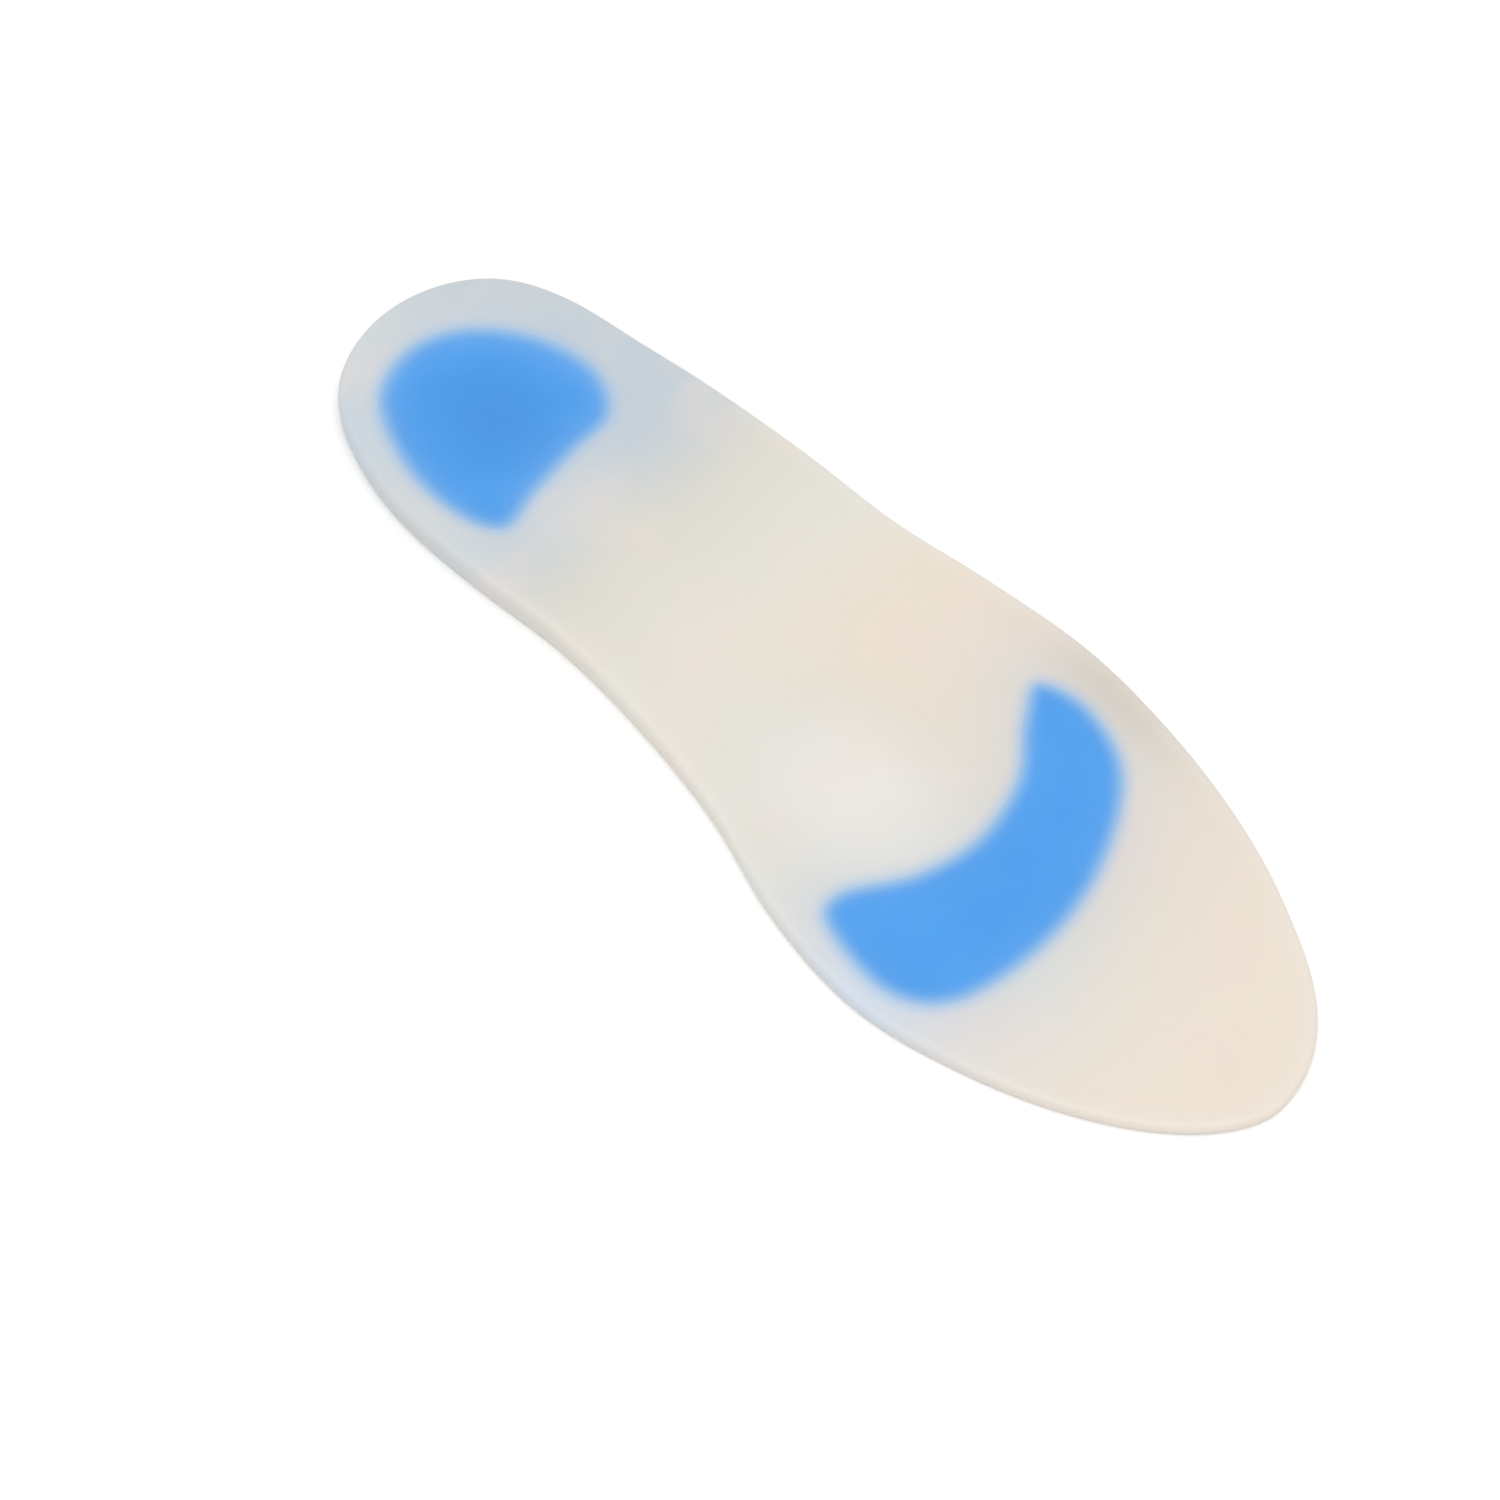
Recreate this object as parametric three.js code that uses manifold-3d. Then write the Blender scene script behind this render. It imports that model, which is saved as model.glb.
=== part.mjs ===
// A full-length silicone insole for a left foot, lying on its flat underside.
// One moulded body of milky silicone holds two softer blue silicone inserts in pockets
// that are open on the foot side: a pad under the heel and a crescent under the forefoot.
// Millimetres, +Z up, +Y from heel to toe, +X towards the arch side (medial).

import * as THREE from 'three';
import { mergeVertices } from 'three/addons/utils/BufferGeometryUtils.js';
import Module from 'manifold-3d';

// Outline and heights. The axis runs from the heel's end to the toe's end. Each section gives the
// half widths on the outer (lateral) and arch (medial) side of the axis, the height of the foot bed
// on the axis, and the heights of the two rims. The toe's end is rounder on its outer side.
const LENGTH = 250;
const HEEL_TIP_RADIUS = 31;
const TOE_TIP_RADIUS = { lateral: 26, medial: 10 };
const SECTIONS = [
  { fromHeel: 8, lateral: 20.5, medial: 20.5, bed: 4.4, lateralRim: 5.7, medialRim: 5.7 },
  { fromHeel: 22, lateral: 28.5, medial: 28.2, bed: 4.3, lateralRim: 5.7, medialRim: 5.8 },
  { fromHeel: 40, lateral: 32, medial: 31.7, bed: 4.3, lateralRim: 5.5, medialRim: 5.9 },
  { fromHeel: 62, lateral: 35.5, medial: 31.2, bed: 4.2, lateralRim: 5.2, medialRim: 5.9 },
  { fromHeel: 86, lateral: 38, medial: 29, bed: 4.1, lateralRim: 4.8, medialRim: 5.6 },
  { fromHeel: 110, lateral: 39.5, medial: 30, bed: 3.9, lateralRim: 4.3, medialRim: 5 },
  { fromHeel: 134, lateral: 43.5, medial: 33.5, bed: 3.7, lateralRim: 3.8, medialRim: 4.2 },
  { fromHeel: 158, lateral: 46, medial: 40, bed: 3.4, lateralRim: 3.4, medialRim: 3.5 },
  { fromHeel: 182, lateral: 44, medial: 42, bed: 3.1, lateralRim: 3.1, medialRim: 3.1 },
  { fromHeel: 206, lateral: 38.5, medial: 36.4, bed: 2.8, lateralRim: 2.8, medialRim: 2.8 },
  { fromHeel: 228, lateral: 29, medial: 26.3, bed: 2.5, lateralRim: 2.5, medialRim: 2.5 },
  { fromHeel: 242, lateral: 19, medial: 15.3, bed: 2.3, lateralRim: 2.3, medialRim: 2.3 },
];

// Metatarsal dome, a low oval swelling of the foot bed behind the forefoot insert
const DOME = { x: 5, fromHeel: 145, halfWidth: 20, halfLength: 25, height: 3 };

// Rim: the bed rises to it over RIM_RISE_WIDTH, its top edge is rounded by up to RIM_ROUND and by no
// more than a share of its height, and its bottom edge by SOLE_ROUND
const RIM_RISE_WIDTH = 16;
const RIM_ROUND = 1.6;
const RIM_ROUND_SHARE = 0.55;
const SOLE_ROUND = 0.9;

// The bed is ruled from a spine on the axis, whose ends stay this far inside the outline
const SPINE_INSET = 24;

// Pockets and inserts: silicone left under each pocket, clearance round and under each insert,
// and a height above everything, to which the upright prisms of the pockets and inserts reach
const POCKET_FLOOR = 1;
const INSERT_GAP = 0.3;
const PRISM_TOP = 14;
const OUTLINE_TENSION = 0.5;

// Heel pad, anticlockwise from its back end. x is positive towards the arch side.
const HEEL_PAD = [
  { x: 4.5, fromHeel: 10.9 },
  { x: 17.1, fromHeel: 16.9 },
  { x: 24.1, fromHeel: 34 },
  { x: 24, fromHeel: 50 },
  { x: 19, fromHeel: 58 },
  { x: 8.5, fromHeel: 55.6 },
  { x: -3.5, fromHeel: 53.3 },
  { x: -15.2, fromHeel: 51.3 },
  { x: -20.6, fromHeel: 41.1 },
  { x: -17.4, fromHeel: 26.1 },
  { x: -8, fromHeel: 14.5 },
];

// Forefoot crescent, anticlockwise from the tip on the outer side: rear edge, arch end, front edge
const CRESCENT = [
  { x: -32.6, fromHeel: 156.7 },
  { x: -24.2, fromHeel: 161 },
  { x: -13.9, fromHeel: 169.2 },
  { x: 0.5, fromHeel: 173 },
  { x: 14.5, fromHeel: 170.5 },
  { x: 28, fromHeel: 163.5 },
  { x: 34.5, fromHeel: 167 },
  { x: 36.1, fromHeel: 184 },
  { x: 28, fromHeel: 194.4 },
  { x: 8.5, fromHeel: 197.4 },
  { x: -11.7, fromHeel: 193.4 },
  { x: -29.7, fromHeel: 182.2 },
  { x: -35.6, fromHeel: 167.5 },
];

// Fineness of the faceted surfaces
const OUTLINE_STEPS = 120;
const BED_STEPS = 12;
const RIM_ARC_STEPS = 4;
const SOLE_ARC_STEPS = 2;
const INSERT_OUTLINE_STEPS = 72;
const WELD_DISTANCE = 1e-4;

// Materials
const MILKY_SILICONE = new THREE.MeshStandardMaterial({ color: '#e4e0d7', roughness: 0.42, metalness: 0 });
const BLUE_SILICONE = new THREE.MeshStandardMaterial({ color: '#559eec', roughness: 0.45, metalness: 0 });

const wasm = await Module();
wasm.setup();

// Smooth value at `at` through the rows (place, value): a cubic with three-point tangents
function smoothRow(places, values, at) {
  const last = places.length - 1;
  const t = THREE.MathUtils.clamp(at, places[0], places[last]);
  let i = 0;
  while (i < last - 1 && t > places[i + 1]) i += 1;
  const slope = (k) => (values[k + 1] - values[k]) / (places[k + 1] - places[k]);
  const tangent = (k) => {
    if (k === 0) return slope(0);
    if (k === last) return slope(last - 1);
    const before = places[k] - places[k - 1];
    const after = places[k + 1] - places[k];
    return (slope(k - 1) * after + slope(k) * before) / (before + after);
  };
  const span = places[i + 1] - places[i];
  const f = (t - places[i]) / span;
  const ff = f * f;
  const fff = ff * f;
  return (2 * fff - 3 * ff + 1) * values[i]
    + (fff - 2 * ff + f) * span * tangent(i)
    + (3 * ff - 2 * fff) * values[i + 1]
    + (fff - ff) * span * tangent(i + 1);
}

// Sections are spaced by the angle whose cosine runs along the length, so that the tips come out round
function lengthAngle(fromHeel) {
  return Math.acos(1 - 2 * fromHeel / LENGTH);
}

const sectionPlaces = SECTIONS.map((row) => row.fromHeel);
const tipAngles = [0, ...sectionPlaces.map(lengthAngle), Math.PI];

// Half width on one side: a rounded lens, sqrt(s (L - s)), times a smooth factor from the sections
function halfWidth(side, angle) {
  const fromHeel = LENGTH / 2 * (1 - Math.cos(angle));
  const lens = (s) => Math.sqrt(s * (LENGTH - s));
  const factors = [
    Math.sqrt(2 * HEEL_TIP_RADIUS / LENGTH),
    ...SECTIONS.map((row) => row[side] / lens(row.fromHeel)),
    Math.sqrt(2 * TOE_TIP_RADIUS[side] / LENGTH),
  ];
  return smoothRow(tipAngles, factors, angle) * lens(fromHeel);
}

function sectionHeight(column, fromHeel) {
  return smoothRow(sectionPlaces, SECTIONS.map((row) => row[column]), fromHeel);
}

// Point of the outline for a turn from 0 to 2 pi: up the arch side, then back down the outer side
function outlinePoint(turn) {
  const medial = turn <= Math.PI;
  const angle = medial ? turn : 2 * Math.PI - turn;
  const width = halfWidth(medial ? 'medial' : 'lateral', angle);
  return new THREE.Vector2(medial ? width : -width, LENGTH / 2 * (1 - Math.cos(angle)));
}

function domeHeight(x, fromHeel) {
  const reach = Math.hypot((x - DOME.x) / DOME.halfWidth, (fromHeel - DOME.fromHeel) / DOME.halfLength);
  return reach < 1 ? DOME.height * Math.cos(Math.PI / 2 * reach) ** 2 : 0;
}

function rimRound(rim) {
  return Math.min(RIM_ROUND, RIM_ROUND_SHARE * rim);
}

// Height of the foot side at a point that lies `inside` millimetres within the outline
function topHeight(at, inside) {
  const bed = sectionHeight('bed', at.y);
  const rim = sectionHeight(at.x >= 0 ? 'medialRim' : 'lateralRim', at.y);
  const crest = rimRound(rim);
  const rise = 1 - THREE.MathUtils.smoothstep(inside, crest, crest + RIM_RISE_WIDTH);
  return bed + (rim - bed) * rise + domeHeight(at.x, at.y);
}

// Shortest distance from a point to a closed loop of points
function distanceToLoop(at, loop) {
  return Math.min(...loop.map((start, i) => {
    const along = loop[(i + 1) % loop.length].clone().sub(start);
    const reach = at.clone().sub(start);
    const share = THREE.MathUtils.clamp(reach.dot(along) / along.lengthSq(), 0, 1);
    return reach.addScaledVector(along, -share).length();
  }));
}

// Inward unit normals of a closed anticlockwise loop of points
function inwardNormals(loop) {
  return loop.map((point, i) => {
    const next = loop[(i + 1) % loop.length];
    const previous = loop[(i + loop.length - 1) % loop.length];
    const along = next.clone().sub(previous).normalize();
    return new THREE.Vector2(-along.y, along.x);
  });
}

// Solid from a position-only geometry whose shared corners are merged
function solidFrom(geometry) {
  geometry.deleteAttribute('normal');
  geometry.deleteAttribute('uv');
  const merged = mergeVertices(geometry, WELD_DISTANCE);
  const corners = merged.index.array;
  const triangles = [];
  for (let i = 0; i < corners.length; i += 3) {
    const [a, b, c] = corners.slice(i, i + 3);
    if (a !== b && b !== c && c !== a) triangles.push(a, b, c);
  }
  return new wasm.Manifold(new wasm.Mesh({
    numProp: 3,
    vertProperties: new Float32Array(merged.attributes.position.array),
    triVerts: new Uint32Array(triangles),
  }));
}

function namedMesh(name, solid, material) {
  const mesh = solid.getMesh();
  const geometry = new THREE.BufferGeometry();
  geometry.setAttribute('position', new THREE.BufferAttribute(mesh.vertProperties, 3));
  geometry.setIndex(new THREE.BufferAttribute(mesh.triVerts, 1));
  geometry.computeVertexNormals();
  const named = new THREE.Mesh(geometry, material);
  named.name = name;
  return named;
}

// The body before its pockets are cut: rings from the spine out over the bed to the rim,
// round the rim, down the side and under the bottom edge, then the flat underside
function bodyBlank() {
  const turns = Array.from({ length: OUTLINE_STEPS }, (_, i) => 2 * Math.PI * i / OUTLINE_STEPS);
  const outline = turns.map(outlinePoint);
  const inward = inwardNormals(outline);
  const spineShare = (LENGTH - 2 * SPINE_INSET) / LENGTH;
  const columns = outline.map((edge, i) => {
    const spine = new THREE.Vector2(0, SPINE_INSET + edge.y * spineShare);
    const rim = sectionHeight(turns[i] <= Math.PI ? 'medialRim' : 'lateralRim', edge.y);
    const round = rimRound(rim);
    const crest = edge.clone().addScaledVector(inward[i], round);
    const column = [];
    for (let k = 0; k <= BED_STEPS; k += 1) {
      const at = spine.clone().lerp(crest, k / BED_STEPS);
      column.push(new THREE.Vector3(at.x, at.y, topHeight(at, distanceToLoop(at, outline))));
    }
    for (let k = 1; k <= RIM_ARC_STEPS; k += 1) {
      const arc = Math.PI / 2 * k / RIM_ARC_STEPS;
      const at = edge.clone().addScaledVector(inward[i], round * (1 - Math.sin(arc)));
      column.push(new THREE.Vector3(at.x, at.y, rim - round * (1 - Math.cos(arc))));
    }
    for (let k = 0; k <= SOLE_ARC_STEPS; k += 1) {
      const arc = Math.PI / 2 * k / SOLE_ARC_STEPS;
      const at = edge.clone().addScaledVector(inward[i], SOLE_ROUND * (1 - Math.cos(arc)));
      column.push(new THREE.Vector3(at.x, at.y, SOLE_ROUND * (1 - Math.sin(arc))));
    }
    return column;
  });
  const rows = columns[0].length;
  const positions = columns.flatMap((column) => column.flatMap((point) => point.toArray()));
  const triangles = [];
  for (let i = 0; i < OUTLINE_STEPS; i += 1) {
    const here = i * rows;
    const next = (i + 1) % OUTLINE_STEPS * rows;
    for (let k = 0; k < rows - 1; k += 1) {
      triangles.push(here + k, here + k + 1, next + k);
      triangles.push(next + k, here + k + 1, next + k + 1);
    }
  }
  const soleLoop = columns.map((column) => new THREE.Vector2(column[rows - 1].x, column[rows - 1].y));
  for (const [a, b, c] of THREE.ShapeUtils.triangulateShape(soleLoop, [])) {
    triangles.push(a * rows + rows - 1, c * rows + rows - 1, b * rows + rows - 1);
  }
  const geometry = new THREE.BufferGeometry();
  geometry.setAttribute('position', new THREE.Float32BufferAttribute(positions, 3));
  geometry.setIndex(triangles);
  return solidFrom(geometry);
}

// Upright prism inside a smooth closed outline, moved out by `grow`, from `floor` to above the body
function insertPrism(points, grow, floor) {
  const knots = points.map((point) => new THREE.Vector3(point.x, point.fromHeel, 0));
  const curve = new THREE.CatmullRomCurve3(knots, true, 'catmullrom', OUTLINE_TENSION);
  const smooth = curve.getSpacedPoints(INSERT_OUTLINE_STEPS).slice(0, INSERT_OUTLINE_STEPS);
  const loop = smooth.map((point) => new THREE.Vector2(point.x, point.y));
  const inward = inwardNormals(loop);
  const grown = loop.map((point, i) => point.clone().addScaledVector(inward[i], -grow));
  const prism = new THREE.ExtrudeGeometry(new THREE.Shape(grown), {
    depth: PRISM_TOP - floor,
    bevelEnabled: false,
  });
  prism.translate(0, 0, floor);
  return solidFrom(prism);
}

const blank = bodyBlank();
const insertFloor = POCKET_FLOOR + INSERT_GAP;

const body = blank
  .subtract(insertPrism(HEEL_PAD, INSERT_GAP, POCKET_FLOOR))
  .subtract(insertPrism(CRESCENT, INSERT_GAP, POCKET_FLOOR));

const heelPad = blank.intersect(insertPrism(HEEL_PAD, 0, insertFloor));
const crescent = blank.intersect(insertPrism(CRESCENT, 0, insertFloor));

const insole = new THREE.Group();
insole.add(namedMesh('insole_body', body, MILKY_SILICONE));
insole.add(namedMesh('heel_insert', heelPad, BLUE_SILICONE));
insole.add(namedMesh('metatarsal_insert', crescent, BLUE_SILICONE));

// The origin is the middle of the outline's box, on the underside
const box = new THREE.Box3().setFromObject(insole);
const middle = box.getCenter(new THREE.Vector3());
insole.position.set(-middle.x, -middle.y, -box.min.z);
insole.updateMatrixWorld(true);

export default insole;
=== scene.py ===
import math

import bpy
import numpy as np
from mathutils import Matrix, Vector


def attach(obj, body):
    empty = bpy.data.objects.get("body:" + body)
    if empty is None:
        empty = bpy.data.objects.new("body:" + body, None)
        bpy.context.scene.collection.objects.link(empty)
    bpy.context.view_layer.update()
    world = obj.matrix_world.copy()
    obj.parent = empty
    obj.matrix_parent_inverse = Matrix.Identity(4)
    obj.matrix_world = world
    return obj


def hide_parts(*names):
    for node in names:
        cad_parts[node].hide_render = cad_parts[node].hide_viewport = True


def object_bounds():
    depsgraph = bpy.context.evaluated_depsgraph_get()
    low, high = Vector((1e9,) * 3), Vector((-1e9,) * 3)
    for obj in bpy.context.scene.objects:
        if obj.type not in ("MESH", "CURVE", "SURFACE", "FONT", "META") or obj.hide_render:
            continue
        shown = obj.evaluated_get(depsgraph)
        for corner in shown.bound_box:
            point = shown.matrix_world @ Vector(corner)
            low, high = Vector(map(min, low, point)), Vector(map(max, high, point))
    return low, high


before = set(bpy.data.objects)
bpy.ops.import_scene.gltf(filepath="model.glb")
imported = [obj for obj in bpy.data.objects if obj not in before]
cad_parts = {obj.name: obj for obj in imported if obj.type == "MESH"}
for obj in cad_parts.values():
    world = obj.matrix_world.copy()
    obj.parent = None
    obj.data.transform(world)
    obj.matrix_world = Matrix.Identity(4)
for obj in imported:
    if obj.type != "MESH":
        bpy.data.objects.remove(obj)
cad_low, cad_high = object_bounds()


# Insole body
# One full-length casting of milky, translucent silicone rubber, made in a two-part mould that leaves a
# satin skin. Its underside is flat, the heel lies in a shallow cup, a low dome carries the metatarsals,
# and two pockets are left open on the foot side for the softer inserts that are cast into them.

# Sizes are in millimetres, from the heel's end along the length and from the axis across it.
MM = 0.001
length = 250.0
heel_tip_radius = 31.0
toe_tip_radius = dict(lateral=26.0, medial=10.0)
sections = [
    dict(from_heel=8, lateral=20.5, medial=20.5, bed=4.4, lateral_rim=5.7, medial_rim=5.7),
    dict(from_heel=22, lateral=28.5, medial=28.2, bed=4.3, lateral_rim=5.7, medial_rim=5.8),
    dict(from_heel=40, lateral=32, medial=31.7, bed=4.3, lateral_rim=5.5, medial_rim=5.9),
    dict(from_heel=62, lateral=35.5, medial=31.2, bed=4.2, lateral_rim=5.2, medial_rim=5.9),
    dict(from_heel=86, lateral=38, medial=29, bed=4.1, lateral_rim=4.8, medial_rim=5.6),
    dict(from_heel=110, lateral=39.5, medial=30, bed=3.9, lateral_rim=4.3, medial_rim=5),
    dict(from_heel=134, lateral=43.5, medial=33.5, bed=3.7, lateral_rim=3.8, medial_rim=4.2),
    dict(from_heel=158, lateral=46, medial=40, bed=3.4, lateral_rim=3.4, medial_rim=3.5),
    dict(from_heel=182, lateral=44, medial=42, bed=3.1, lateral_rim=3.1, medial_rim=3.1),
    dict(from_heel=206, lateral=38.5, medial=36.4, bed=2.8, lateral_rim=2.8, medial_rim=2.8),
    dict(from_heel=228, lateral=29, medial=26.3, bed=2.5, lateral_rim=2.5, medial_rim=2.5),
    dict(from_heel=242, lateral=19, medial=15.3, bed=2.3, lateral_rim=2.3, medial_rim=2.3),
]
dome = dict(x=5, from_heel=145, half_width=20, half_length=25, height=3.0)
rim_rise_width = 16.0
rim_round_most = 1.6
rim_round_share = 0.55
sole_round = 0.9
pocket_floor = 1.0
heel_pocket_knots = [
    (4.5, 10.9), (17.1, 16.9), (24.1, 34), (24, 50), (19, 58), (8.5, 55.6),
    (-3.5, 53.3), (-15.2, 51.3), (-20.6, 41.1), (-17.4, 26.1), (-8, 14.5),
]
crescent_pocket_knots = [
    (-32.6, 156.7), (-24.2, 161), (-13.9, 169.2), (0.5, 173), (14.5, 170.5), (28, 163.5), (34.5, 167),
    (36.1, 184), (28, 194.4), (8.5, 197.4), (-11.7, 193.4), (-29.7, 182.2), (-35.6, 167.5),
]


def column(name):
    """One named column of the section table, heel to toe."""
    return np.array([row[name] for row in sections], float)


def smooth_row(places, values, at):
    """Cubic through the rows (place, value). The slope at a row is the mean of the slopes on its two
    sides, each weighted by the other side's span, and the end rows keep their only slope."""
    span = np.diff(places)
    slope = np.diff(values) / span
    inner = (slope[:-1] * span[1:] + slope[1:] * span[:-1]) / (span[:-1] + span[1:])
    tangent = np.concatenate([slope[:1], inner, slope[-1:]])
    at = np.clip(at, places[0], places[-1])
    i = np.clip(np.searchsorted(places, at) - 1, 0, len(span) - 1)
    f = (at - places[i]) / span[i]
    return ((2 * f**3 - 3 * f**2 + 1) * values[i] + (f**3 - 2 * f**2 + f) * span[i] * tangent[i]
            + (3 * f**2 - 2 * f**3) * values[i + 1] + (f**3 - f**2) * span[i] * tangent[i + 1])


def smoothstep(low, high, at):
    """0 below low, 1 above high, and 3 t^2 - 2 t^3 between them."""
    t = np.clip((at - low) / (high - low), 0, 1)
    return t * t * (3 - 2 * t)


def oval_share(at, oval):
    """cos^2 of the share of the way from an oval's middle to its edge: 1 in its middle and 0 outside it."""
    out = np.hypot((at[..., 0] - oval["x"]) / oval["half_width"],
                   (at[..., 1] - oval["from_heel"]) / oval["half_length"])
    return np.cos(np.pi / 2 * np.minimum(out, 1))**2


def length_angle(from_heel):
    """The angle whose cosine runs from 1 at the heel's end to -1 at the toe's end."""
    return np.arccos(1 - 2 * from_heel / length)


def outline(turn):
    """Plan outline for a turn of 0 to 2 pi, from the heel's end up the arch side and back down the outer
    side: the half width is the round lens sqrt(s (L - s)) times a smooth factor through the sections."""
    angle = np.where(turn <= np.pi, turn, 2 * np.pi - turn)
    s = length / 2 * (1 - np.cos(angle))
    rows = column("from_heel")
    places = np.concatenate([[0], length_angle(rows), [np.pi]])
    half = {}
    for side in ("lateral", "medial"):
        heel_factor, toe_factor = np.sqrt(2 * np.array([heel_tip_radius, toe_tip_radius[side]]) / length)
        factors = column(side) / np.sqrt(rows * (length - rows))
        factors = np.concatenate([[heel_factor], factors, [toe_factor]])
        half[side] = smooth_row(places, factors, angle) * np.sqrt(np.maximum(s * (length - s), 0))
    return np.stack([np.where(turn <= np.pi, half["medial"], -half["lateral"]), s], axis=-1)


def inward_normals(loop):
    """Unit normals towards the inside of a closed anticlockwise loop of points."""
    along = np.roll(loop, -1, 0) - np.roll(loop, 1, 0)
    along /= np.linalg.norm(along, axis=1, keepdims=True)
    return np.stack([-along[:, 1], along[:, 0]], axis=-1)


def closed_curve(knots, place):
    """Closed curve through its knots: between two knots a cubic whose slope at a knot is half the step
    between the knots on its two sides. A whole place is a knot."""
    knots = np.asarray(knots, float)
    count = len(knots)
    i = np.floor(place).astype(int)
    t = (place - i)[..., None]
    p0, p1, p2, p3 = (knots[(i + k) % count] for k in (-1, 0, 1, 2))
    return 0.5 * (2 * p1 + (p2 - p0) * t + (2 * p0 - 5 * p1 + 4 * p2 - p3) * t**2
                  + (3 * p1 - p0 - 3 * p2 + p3) * t**3)


def closed_loop(knots, points):
    """A loop of points along a closed curve, with even steps from knot to knot."""
    return closed_curve(knots, np.linspace(0, len(knots), points, endpoint=False))


def distance_to_loop(at, loop):
    """Shortest distance from each point to the segments of a closed loop of points."""
    start = loop[:, 0] + 1j * loop[:, 1]
    along = np.roll(start, -1) - start
    reach = (at[..., 0] + 1j * at[..., 1]).reshape(-1, 1) - start
    share = np.clip((reach * along.conj()).real / np.abs(along)**2, 0, 1)
    return np.abs(reach - share * along).min(axis=1).reshape(at.shape[:-1])


def rim_height(at):
    """Height of the rim's crest beside a point, from its side's column."""
    rows = column("from_heel")
    medial = smooth_row(rows, column("medial_rim"), at[..., 1])
    lateral = smooth_row(rows, column("lateral_rim"), at[..., 1])
    return np.where(at[..., 0] >= 0, medial, lateral)


def rim_round(rim):
    """Radius of the rim's rounded top edge."""
    return np.minimum(rim_round_most, rim_round_share * rim)


def top_height(at):
    """Height of the foot side: the bed's height along the length, rising to the rim by a smoothstep of
    the distance from the outline, plus a dome of cos^2 of the share of the way out from its middle."""
    bed = smooth_row(column("from_heel"), column("bed"), at[..., 1])
    rim = rim_height(at)
    crest = rim_round(rim)
    rise = 1 - smoothstep(crest, crest + rim_rise_width, distance_to_loop(at, coarse_outline))
    return bed + (rim - bed) * rise + dome["height"] * oval_share(at, dome)


def lifted(at, height):
    """Plan points with a height, as points in space."""
    return np.concatenate([at, np.broadcast_to(height, at.shape[:-1])[..., None]], axis=-1)


def ring_grid(first, last, rings, crowding=1.0):
    """Rings from a first loop to a last one, straight from point to point. The share of the way is raised
    to a power, and a power above 1 crowds the rings to the first loop."""
    share = (np.linspace(0, 1, rings) ** crowding)[None, :, None]
    return first[:, None, :] + (last - first)[:, None, :] * share


def grid_triangles(rows, columns):
    """Two triangles for each cell of a grid of rows by columns, whose last row runs on into its first."""
    r = np.arange(rows)[:, None]
    c = np.arange(columns - 1)[None, :]
    here, there = r * columns + c, (r + 1) % rows * columns + c
    first = np.stack([here, here + 1, there], axis=-1)
    second = np.stack([there, here + 1, there + 1], axis=-1)
    return np.concatenate([first.reshape(-1, 3), second.reshape(-1, 3)])


def welded_mesh(name, patches):
    """One closed mesh from grids of points (grid, flipped) and flat polygons (loop, flipped): corners that
    coincide become one, and triangles that have lost a corner that way are dropped."""
    weld_step = 1e-4
    crease_degrees = 50
    points, triangles, polygons, start = [], [], [], 0
    for grid, flipped in patches:
        if grid.ndim == 3:
            cells = grid_triangles(grid.shape[0], grid.shape[1]) + start
            triangles.append(cells[:, ::-1] if flipped else cells)
        else:
            ring = np.arange(len(grid)) + start
            polygons.append(ring[::-1] if flipped else ring)
        points.append(grid.reshape(-1, 3))
        start += points[-1].shape[0]
    points = np.concatenate(points)
    _, kept, welded = np.unique(np.round(points / weld_step).astype(np.int64), axis=0,
                                return_index=True, return_inverse=True)
    welded = welded.ravel()
    cells = welded[np.concatenate(triangles)]
    whole = (cells[:, 0] != cells[:, 1]) & (cells[:, 1] != cells[:, 2]) & (cells[:, 2] != cells[:, 0])
    faces = cells[whole].tolist() + [welded[ring].tolist() for ring in polygons]
    mesh = bpy.data.meshes.new(name)
    mesh.from_pydata(((points[kept] + place_in_frame) * MM).tolist(), [], faces)
    mesh.shade_smooth()
    mesh.set_sharp_from_angle(angle=math.radians(crease_degrees))
    piece = bpy.data.objects.new(name, mesh)
    bpy.context.scene.collection.objects.link(piece)
    return piece


# The CAD box gives the frame: its middle is the middle of the outline's box, on the underside. Distances
# from the outline are measured to every third of its points.
outline_points = 720
turns = np.linspace(0, 2 * np.pi, outline_points, endpoint=False)
edge = outline(turns)
coarse_outline = edge[::3]
middle = (edge.min(axis=0) + edge.max(axis=0)) / 2
cad_middle = (cad_low + cad_high) / 2 / MM
place_in_frame = np.array([cad_middle.x - middle[0], cad_middle.y - middle[1], cad_low.z / MM])

# Rim: from its crest over the rounded top edge, down the side and round the bottom edge
inward = inward_normals(edge)
rim = rim_height(edge)
top_round = rim_round(rim)[:, None]
bottom_round = np.full_like(top_round, sole_round)
crest = edge + inward * top_round
top_arc = np.linspace(0, np.pi / 2, 9)
bottom_arc = np.linspace(0, np.pi / 2, 5)
rim_inset = np.concatenate([top_round * (1 - np.sin(top_arc)),
                            bottom_round * (1 - np.cos(bottom_arc))], axis=1)
rim_profile = np.concatenate([rim[:, None] - top_round * (1 - np.cos(top_arc)),
                              bottom_round * (1 - np.sin(bottom_arc))], axis=1)
rim_profile[:, 0] = top_height(crest)
rim_grid = lifted(edge[:, None] + inward[:, None] * rim_inset[..., None], rim_profile)

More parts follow.
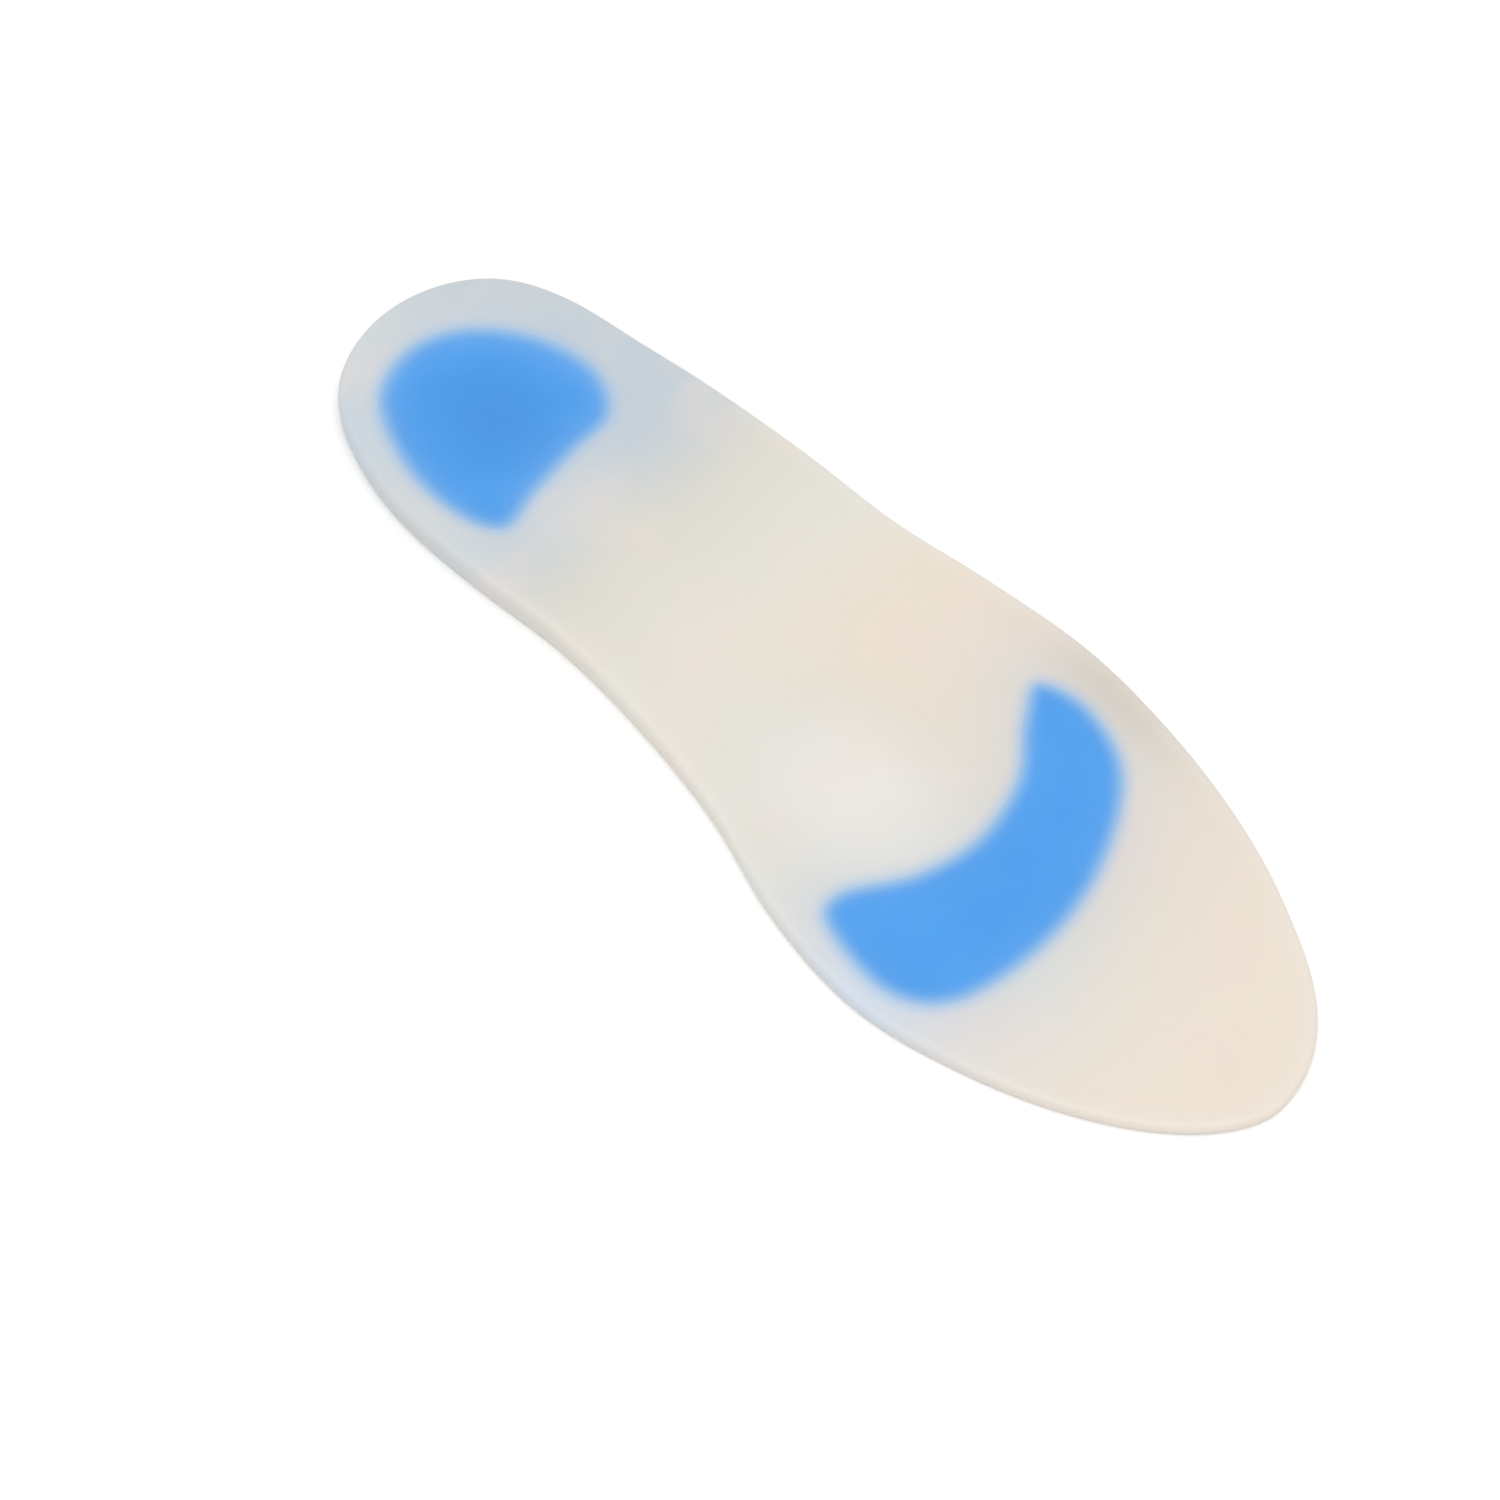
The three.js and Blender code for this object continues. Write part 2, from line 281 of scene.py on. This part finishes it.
# Underside: flat, in rings from the bottom edge in to a spine along the axis
sole_rings = 22
sole_spine_inset = 24.0
sole_spine_way = sole_spine_inset + edge[:, 1] * (1 - 2 * sole_spine_inset / length)
sole_spine = np.stack([np.zeros(outline_points), sole_spine_way], axis=-1)
sole_grid = lifted(ring_grid(rim_grid[:, -1, :2], sole_spine, sole_rings), 0.0)

# Bed: rings from each pocket's edge out to the crest, in two halves that share a cut across the midfoot
bed_rings = 44
bed_crowding = 1.35
cut_from_heel = 108.0
cut_points = 60
cut_turn = length_angle(cut_from_heel)
cut_medial = int(round(cut_turn / (2 * np.pi) * outline_points))
cut_lateral = outline_points - cut_medial
cut = np.linspace(crest[cut_medial], crest[cut_lateral], cut_points + 2)[1:-1]

# Round the heel's pocket, each point of the outer ring faces the edge on its own bearing from the middle.
heel_edge = closed_loop(heel_pocket_knots, points=600)
heel_outer = np.concatenate([crest[cut_lateral:], crest[:cut_medial + 1], cut])
heel_middle = heel_edge.mean(axis=0)
heel_bearing = np.arctan2(*(heel_edge - heel_middle).T)
outer_bearing = np.arctan2(*(heel_outer - heel_middle).T)
heel_inner = np.stack([np.interp(outer_bearing, heel_bearing, heel_edge[:, k], period=2 * np.pi)
                       for k in (0, 1)], axis=-1)
heel_bed = ring_grid(heel_inner, heel_outer, bed_rings, bed_crowding)

# Round the crescent's pocket, places of the outer ring face knots of its edge: up the arch side, round the
# toe, down the outer side and back along the cut, which counts as one more unit of turn.
facing = [
    dict(turn=cut_turn, knot=4.4),
    dict(turn=length_angle(148), knot=5.3),
    dict(turn=length_angle(178), knot=6.6),
    dict(turn=length_angle(204), knot=7.7),
    dict(turn=np.pi, knot=9.4),
    dict(turn=2 * np.pi - length_angle(190), knot=11.0),
    dict(turn=2 * np.pi - length_angle(162), knot=12.2),
    dict(turn=2 * np.pi - length_angle(140), knot=13.0),
    dict(turn=2 * np.pi - cut_turn, knot=13.9),
    dict(turn=2 * np.pi - cut_turn + 0.5, knot=16.0),
    dict(turn=2 * np.pi - cut_turn + 1.0, knot=17.4),
]
cut_turns = 2 * np.pi - cut_turn + np.linspace(0, 1, cut_points + 2)[1:-1]
fore_outer = np.concatenate([crest[cut_medial:cut_lateral + 1], cut[::-1]])
fore_turns = np.concatenate([turns[cut_medial:cut_lateral + 1], cut_turns])
facing_turns, facing_knots = (np.array([row[name] for row in facing]) for name in ("turn", "knot"))
fore_inner = closed_curve(crescent_pocket_knots, smooth_row(facing_turns, facing_knots, fore_turns))
fore_bed = ring_grid(fore_inner, fore_outer, bed_rings, bed_crowding)

# Pockets: upright walls down to a flat floor
body_patches = [(rim_grid, False), (sole_grid, False)]
for bed in (heel_bed, fore_bed):
    bed_grid = lifted(bed, top_height(bed))
    brim = bed_grid[:, 0]
    foot = lifted(brim[:, :2], pocket_floor)
    body_patches += [(bed_grid, False), (np.stack([foot, brim], axis=1), False), (foot, False)]
body = welded_mesh("insole_body_silicone", body_patches)

# The border between the two silicones is blurred, because light runs sideways in both: the blue share falls
# across it, a little milk reaches on into the blue, and a faint halo of blue reaches out into the milk, less
# on the dome. The narrow strip beside the crescent's wide end glows a pale blue grey. On the underside the
# blue is a wide haze. The heel insert, which is thick, is a deeper blue in its middle.
heel_border = dict(loop=heel_edge[::3], shift=-0.58, inner_blur=1.15, outer_blur=1.3, tail=0.34, halo=0.08)
crescent_border = dict(loop=closed_loop(crescent_pocket_knots, points=240), shift=-0.5, inner_blur=0.87,
                       outer_blur=1.45, tail=0.14, halo=0.125)
tail_reach = 2.8
halo_reach = 11.0
halo_lost_on_dome = 0.6
haze_share = 0.33
haze_reach = 4.0
seam_reach = 3.0
wide_end = dict(x=39.0, from_heel=182.0, reach=13.0)
deep_blue = dict(x=2.0, from_heel=36.0, half_width=20.0, half_length=22.0)

# Light that leaves through the rim of the front is painted in as a glow: its tone is more neutral there.
# The bed beside the crescent's tip, where it falls to the outer edge, is darkened as painted shade, and
# a painted highlight makes the dome whiter than the bed round it.
rim_glow = dict(most=0.2, reach=5.0, start=50.0, end=80.0)
shade = dict(from_heel=168.0, half_length=20.0, reach_from=3.0, reach_to=13.0)
white = dict(x=10.0, from_heel=150.0, half_width=25.0, half_length=30.0)


def distance_outside(at, loop):
    """Distance from each point to a closed loop, negative inside it: a line from a point inside along +X
    crosses the loop an odd number of times."""
    x, y = at[..., 0].reshape(-1, 1), at[..., 1].reshape(-1, 1)
    x0, y0 = loop.T
    x1, y1 = np.roll(loop, -1, 0).T
    crosses = (y0 > y) != (y1 > y)
    climb = np.where(y1 == y0, 1, y1 - y0)
    right = x < x0 + (y - y0) * (x1 - x0) / climb
    inside = ((crosses & right).sum(axis=1) % 2 == 1).reshape(at.shape[:-1])
    return np.where(inside, -1, 1) * distance_to_loop(at, loop)


def milky_share(outside, border):
    """Logistic step over the distance outside an insert's edge: 0 well inside it and 1 well outside,
    with a blur of its own on each side of the middle."""
    away = outside - border["shift"]
    return 1 / (1 + np.exp(-away / np.where(away < 0, border["inner_blur"], border["outer_blur"])))


def set_tones(piece, most_depth):
    """The numbers that the silicone's colour reads at each corner. The blue share is 1 less the product of
    the two borders' milky shares, but not less than a halo that falls by exp with the distance outside, nor
    more than leaves a little milk that falls by exp inside. Light sinks in from a few millimetres beside
    the seam, where the two silicones are bonded and pass it on to each other."""
    flat = np.empty(len(piece.data.vertices) * 3)
    piece.data.vertices.foreach_get("co", flat)
    corners = flat.reshape(-1, 3) / MM - place_in_frame
    at = corners[:, :2]
    lift = smoothstep(0, sole_round, corners[:, 2])
    from_edge = distance_to_loop(at, coarse_outline)
    heel_outside = distance_outside(at, heel_border["loop"])
    crescent_outside = distance_outside(at, crescent_border["loop"])
    outside = np.minimum(heel_outside, crescent_outside)
    # Share of the painted highlight on the dome, which also weakens the blue halo there
    dome_highlight_share = oval_share(at, white)
    halo = np.maximum(heel_border["halo"] * np.exp(-np.maximum(heel_outside, 0) / halo_reach),
                      crescent_border["halo"] * np.exp(-np.maximum(crescent_outside, 0) / halo_reach))
    tail = np.where(heel_outside < crescent_outside, heel_border["tail"], crescent_border["tail"])
    milk = milky_share(heel_outside, heel_border) * milky_share(crescent_outside, crescent_border)
    milk = np.minimum(milk, 1 - halo * (1 - halo_lost_on_dome * dome_highlight_share))
    milk = np.maximum(milk, tail * np.exp(-np.maximum(-outside, 0) / tail_reach))
    haze = haze_share * (1 - smoothstep(-haze_reach, haze_reach, outside))
    # Painted glow along the front's rim, strongest at the outline
    at_rim = 1 - smoothstep(0, rim_glow["reach"], from_edge)
    in_front = smoothstep(rim_glow["start"], rim_glow["end"], at[:, 1])
    beside_tip = np.exp(-((at[:, 1] - shade["from_heel"]) / shade["half_length"])**2) * (at[:, 0] < 0)
    from_wide_end = np.hypot(at[:, 0] - wide_end["x"], at[:, 1] - wide_end["from_heel"])
    tones = dict(
        blue_through=haze + (1 - milk - haze) * lift,
        blue_depth=oval_share(at, deep_blue),
        dome_highlight_share=dome_highlight_share * lift,
        rim_glow_share=rim_glow["most"] * at_rim * in_front,
        edge_shade=beside_tip * (1 - smoothstep(shade["reach_from"], shade["reach_to"], from_edge)),
        end_glow=np.exp(-(from_wide_end / wide_end["reach"])**2) * lift,
        light_depth=most_depth * smoothstep(0, seam_reach, np.abs(outside)),
    )
    for name, values in tones.items():
        attribute = piece.data.attributes.new(name, "FLOAT", "POINT")
        attribute.data.foreach_set("value", values.astype(np.float32))


set_tones(body, most_depth=0.5)


def linear(hex_colour):
    """An sRGB hex colour as linear red, green, blue and an alpha of 1."""
    values = [int(hex_colour[i:i + 2], 16) / 255 for i in (1, 3, 5)]
    return [v / 12.92 if v <= 0.04045 else ((v + 0.055) / 1.055) ** 2.4 for v in values] + [1.0]


def node(tree, kind, inputs, **settings):
    """Adds a node with its settings, and sets each input to a value or links it to another node's output."""
    made = tree.nodes.new(kind)
    for name, value in settings.items():
        setattr(made, name, value)
    for key, value in inputs.items():
        if isinstance(value, bpy.types.NodeSocket):
            tree.links.new(value, made.inputs[key])
        else:
            made.inputs[key].default_value = value
    return made


def cast_silicone(name, light_reach, light_scale):
    """Cast silicone rubber, both the milky and the blue one, which run into each other at the seam. The
    milky one is translucent: light sinks in and comes back soft. Its tone is cool and greyish over the
    thick heel, darker on the heel's outer side and greyer past the heel, partly its own tone and partly
    painted shade, and warmer where the casting thins towards the toe and the outer side. Painted shade
    darkens the bed beside the crescent's tip, a painted highlight whitens the dome, and a painted glow
    makes the front's rim more neutral. The blue one is pigmented, even and saturated, and pales to a
    light blue at the border. Faint clouds come from the pour, and the satin skin is copied from the mould."""
    material = bpy.data.materials.new(name)
    material.use_nodes = True
    tree = material.node_tree
    tree.nodes.clear()
    place = node(tree, "ShaderNodeTexCoord", {}).outputs["Object"]
    spot = node(tree, "ShaderNodeSeparateXYZ", {"Vector": place}).outputs

    # Where the tone changes across the insole, on X, and along it, on Y, in millimetres of the frame
    bands = [
        dict(name="past_heel", axis="Y", start=-70, end=-42),
        dict(name="past_waist", axis="Y", start=-56, end=-16),
        dict(name="past_arch", axis="Y", start=-30, end=5),
        dict(name="to_toe", axis="Y", start=70, end=110),
        dict(name="to_outer", axis="X", start=20, end=-20),
    ]
    share = {}
    for band in bands:
        share[band["name"]] = node(tree, "ShaderNodeMapRange", {
            "Value": spot[band["axis"]], "From Min": band["start"] * MM, "From Max": band["end"] * MM},
            interpolation_type="SMOOTHSTEP").outputs["Result"]
    share["outer_front"] = node(tree, "ShaderNodeMath", {0: share["to_outer"], 1: share["past_arch"]},
                                operation="MULTIPLY").outputs["Value"]
    corner_tones = ("blue_through", "blue_depth", "dome_highlight_share", "rim_glow_share", "edge_shade", "end_glow",
                    "light_depth")
    for tone_name in corner_tones:
        share[tone_name] = node(tree, "ShaderNodeAttribute", {}, attribute_name=tone_name).outputs["Fac"]

    # Clouds and a pink blush of the pour, clouds of the pigment, a ripple of the mould and the skin's grain,
    # by their sizes in millimetres. The real grain is finer, and is drawn coarse enough to show.
    patterns = [
        dict(name="clouds", size=30.0, detail=3.0, distortion=0.0),
        dict(name="blush", size=24.0, detail=2.0, distortion=0.6),
        dict(name="pigment", size=16.0, detail=3.0, distortion=0.0),
        dict(name="ripple", size=22.0, detail=1.0, distortion=0.0),
        dict(name="skin", size=0.7, detail=2.0, distortion=0.0),
    ]
    noise = {}
    for pattern in patterns:
        noise[pattern["name"]] = node(tree, "ShaderNodeTexNoise", {
            "Vector": place, "Scale": 1 / (pattern["size"] * MM), "Detail": pattern["detail"],
            "Distortion": pattern["distortion"]}).outputs["Fac"]

    # How much of a tone each noise brings, how rough the clouds leave the skin, and the blue in two halves:
    # up to the light blue of the border, and past it to the full blue
    ranges = [
        dict(name="cloud_share", of=noise["clouds"], start=0.4, end=0.7, low=0.0, high=0.3),
        dict(name="blush_share", of=noise["blush"], start=0.48, end=0.72, low=0.0, high=0.35),
        dict(name="pigment_share", of=noise["pigment"], start=0.35, end=0.7, low=0.0, high=1.0),
        dict(name="roughness", of=noise["clouds"], start=0.3, end=0.7, low=0.48, high=0.60),
        dict(name="to_border", of=share["blue_through"], start=0.0, end=0.5, low=0.0, high=1.0),
        dict(name="past_border", of=share["blue_through"], start=0.5, end=1.0, low=0.0, high=1.0),
    ]
    for row in ranges:
        share[row["name"]] = node(tree, "ShaderNodeMapRange", {
            "Value": row["of"], "From Min": row["start"], "From Max": row["end"],
            "To Min": row["low"], "To Max": row["high"]}).outputs["Result"]

    # Tones laid one over another, each by its share. The front's and the blue are built apart, and are then
    # laid over the cast's tone, which starts as that of the heel, partly the cast's own tone and partly
    # painted shade.
    tone = dict(cast=linear("#cdd4d8"), front=linear("#e0ddd4"), blue=linear("#4398e5"))
    layers = [
        dict(on="front", by="outer_front", tone="#e6dbcb"),
        dict(on="front", by="to_toe", tone="#e8ddcf"),
        # Darker on the heel's outer side and greyer past the heel: partly the cast's own tone, partly
        # painted shade
        dict(on="cast", by="to_outer", tone="#c5cdd2"),
        dict(on="cast", by="past_heel", tone="#d8d5cb"),
        dict(on="cast", by="past_waist", tone="front"),
        dict(on="cast", by="edge_shade", tone="#d9ccb8"),
        # Painted highlight on the dome
        dict(on="cast", by="dome_highlight_share", tone="#e6e4e0"),
        dict(on="cast", by="cloud_share", tone="#e6dccb"),
        dict(on="cast", by="blush_share", tone="#ead8d2"),
        # Painted glow at the front's rim
        dict(on="cast", by="rim_glow_share", tone="#e9e8e4"),
        dict(on="cast", by="end_glow", tone="#dadee4"),
        dict(on="cast", by="to_border", tone="#8ab6e1"),
        dict(on="blue", by="pigment_share", tone="#489de9"),
        dict(on="blue", by="blue_depth", tone="#4292dd"),
        dict(on="cast", by="past_border", tone="blue"),
    ]
    for layer in layers:
        below = tone[layer["on"]]
        above = tone[layer["tone"]] if layer["tone"] in tone else linear(layer["tone"])
        tone[layer["on"]] = node(tree, "ShaderNodeMix", {
            "Factor": share[layer["by"]], "A": below, "B": above}, data_type="RGBA").outputs["Result"]

    rippled = node(tree, "ShaderNodeBump", {
        "Height": noise["ripple"], "Strength": 0.25, "Distance": 1.0 * MM}).outputs["Normal"]
    grained = node(tree, "ShaderNodeBump", {
        "Height": noise["skin"], "Strength": 0.15, "Distance": 0.15 * MM,
        "Normal": rippled}).outputs["Normal"]
    silicone = node(tree, "ShaderNodeBsdfPrincipled", {
        "Base Color": tone["cast"], "Roughness": share["roughness"], "IOR": 1.41, "Normal": grained,
        "Subsurface Weight": share["light_depth"], "Subsurface Radius": light_reach,
        "Subsurface Scale": light_scale})
    node(tree, "ShaderNodeOutputMaterial", {"Surface": silicone.outputs["BSDF"]})
    return material


milky_cast = cast_silicone("milky_silicone_cast", light_reach=(1.0, 0.92, 0.84), light_scale=1.2 * MM)
body.data.materials.append(milky_cast)
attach(body, "root")
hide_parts("insole_body")


# Heel insert
# A shield of softer blue silicone, cast into the heel pocket flush with the foot side. Its back follows
# the heel, and its front edge is hollowed.
cast_gap = 0.015
insert_floor = pocket_floor + cast_gap
insert_crowding = 1.8


def insert_piece(name, loop, spine, rings):
    """Closed insert: its foot side in rings from the edge in to a spine, at the bed's height, then an
    upright wall down to a flat bottom."""
    loop = loop + inward_normals(loop) * cast_gap
    foot_side = ring_grid(loop, spine, rings, insert_crowding)
    top = lifted(foot_side, top_height(foot_side))
    bottom = lifted(loop, insert_floor)
    return welded_mesh(name, [(top, True), (np.stack([bottom, top[:, 0]], axis=1), True), (bottom, True)])


heel_loop = heel_edge[::2]
heel_spine = np.broadcast_to(heel_middle, heel_loop.shape)
heel_insert = insert_piece("heel_insert_silicone", heel_loop, heel_spine, rings=40)
set_tones(heel_insert, most_depth=0.3)
blue_cast = cast_silicone("blue_silicone_cast", light_reach=(0.5, 0.8, 1.0), light_scale=1.0 * MM)
heel_insert.data.materials.append(blue_cast)
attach(heel_insert, "root")
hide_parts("heel_insert")


# Metatarsal insert
# A crescent of the same soft blue silicone in the forefoot pocket, curved round the front of the dome,
# with its wide end on the arch side.

# Its edge runs along the rear to the wide end and back along the front to the tip. The rings run in from it
# to a spine, midway between rear and front, that stops short of both ends.
edge_knots = len(crescent_pocket_knots)
rear_knots = 7
front_knots = edge_knots - rear_knots
half_edge_points = 210
tip_knot, wide_end_knot = -0.06, 6.87
spine_start, spine_end = 0.12, 0.88
edge_way = np.linspace(0, 1, half_edge_points, endpoint=False)
crescent_places = np.concatenate([tip_knot + (wide_end_knot - tip_knot) * edge_way,
                                  wide_end_knot + (edge_knots + tip_knot - wide_end_knot) * edge_way])
crescent_loop = closed_curve(crescent_pocket_knots, crescent_places)
spine_way = spine_start + (spine_end - spine_start) * np.concatenate([edge_way, 1 - edge_way])
crescent_spine = 0.5 * (closed_curve(crescent_pocket_knots, rear_knots * spine_way)
                        + closed_curve(crescent_pocket_knots, edge_knots - front_knots * spine_way))
metatarsal_insert = insert_piece("metatarsal_insert_silicone", crescent_loop, crescent_spine, rings=26)
set_tones(metatarsal_insert, most_depth=0.3)
metatarsal_insert.data.materials.append(blue_cast)
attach(metatarsal_insert, "root")
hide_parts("metatarsal_insert")


# Floor, light and camera
# A plain white sweep under one large softbox overhead, filled by a pale studio sky, and a long lens that
# looks down on the insole from its toe and arch side.
floor_half = 8.0
floor_mesh = bpy.data.meshes.new("floor")
floor_mesh.from_pydata([(-floor_half, -floor_half, 0), (floor_half, -floor_half, 0),
                        (floor_half, floor_half, 0), (-floor_half, floor_half, 0)], [], [(0, 1, 2, 3)])
floor = bpy.data.objects.new("floor", floor_mesh)
bpy.context.scene.collection.objects.link(floor)
paper = bpy.data.materials.new("white_paper")
paper.use_nodes = True
paper.node_tree.nodes["Principled BSDF"].inputs["Base Color"].default_value = linear("#fdfdfc")
paper.node_tree.nodes["Principled BSDF"].inputs["Roughness"].default_value = 0.9
floor.data.materials.append(paper)

sky = bpy.data.worlds.new("studio_sky")
sky.use_nodes = True
sky.node_tree.nodes["Background"].inputs["Color"].default_value = linear("#ffffff")
sky.node_tree.nodes["Background"].inputs["Strength"].default_value = 0.60
bpy.context.scene.world = sky
bpy.context.scene.view_settings.view_transform = "Standard"

view_azimuth, view_elevation = math.radians(136.6), math.radians(58.8)
view_distance = 678.8 * MM
view_target = Vector((19.1, 2.45, 0.0)) * MM
back = Vector((math.sin(view_azimuth) * math.cos(view_elevation),
               -math.cos(view_azimuth) * math.cos(view_elevation), math.sin(view_elevation)))
lens = bpy.data.cameras.new("camera")
lens.sensor_width = 36.0
lens.lens = 84.0
camera = bpy.data.objects.new("camera", lens)
camera.location = view_target + back * view_distance
camera.rotation_euler = back.to_track_quat("Z", "Y").to_euler()
bpy.context.scene.collection.objects.link(camera)
bpy.context.scene.camera = camera

softbox_height = 3.0
softbox_lean = 0.6
key = bpy.data.lights.new("softbox", "AREA")
key.shape = "SQUARE"
key.size = 3.2
key.energy = 59.0
softbox = bpy.data.objects.new("softbox", key)
softbox.location = view_target + Vector((back.x * softbox_lean, back.y * softbox_lean, softbox_height))
softbox.rotation_euler = (softbox.location - view_target).to_track_quat("Z", "Y").to_euler()
bpy.context.scene.collection.objects.link(softbox)
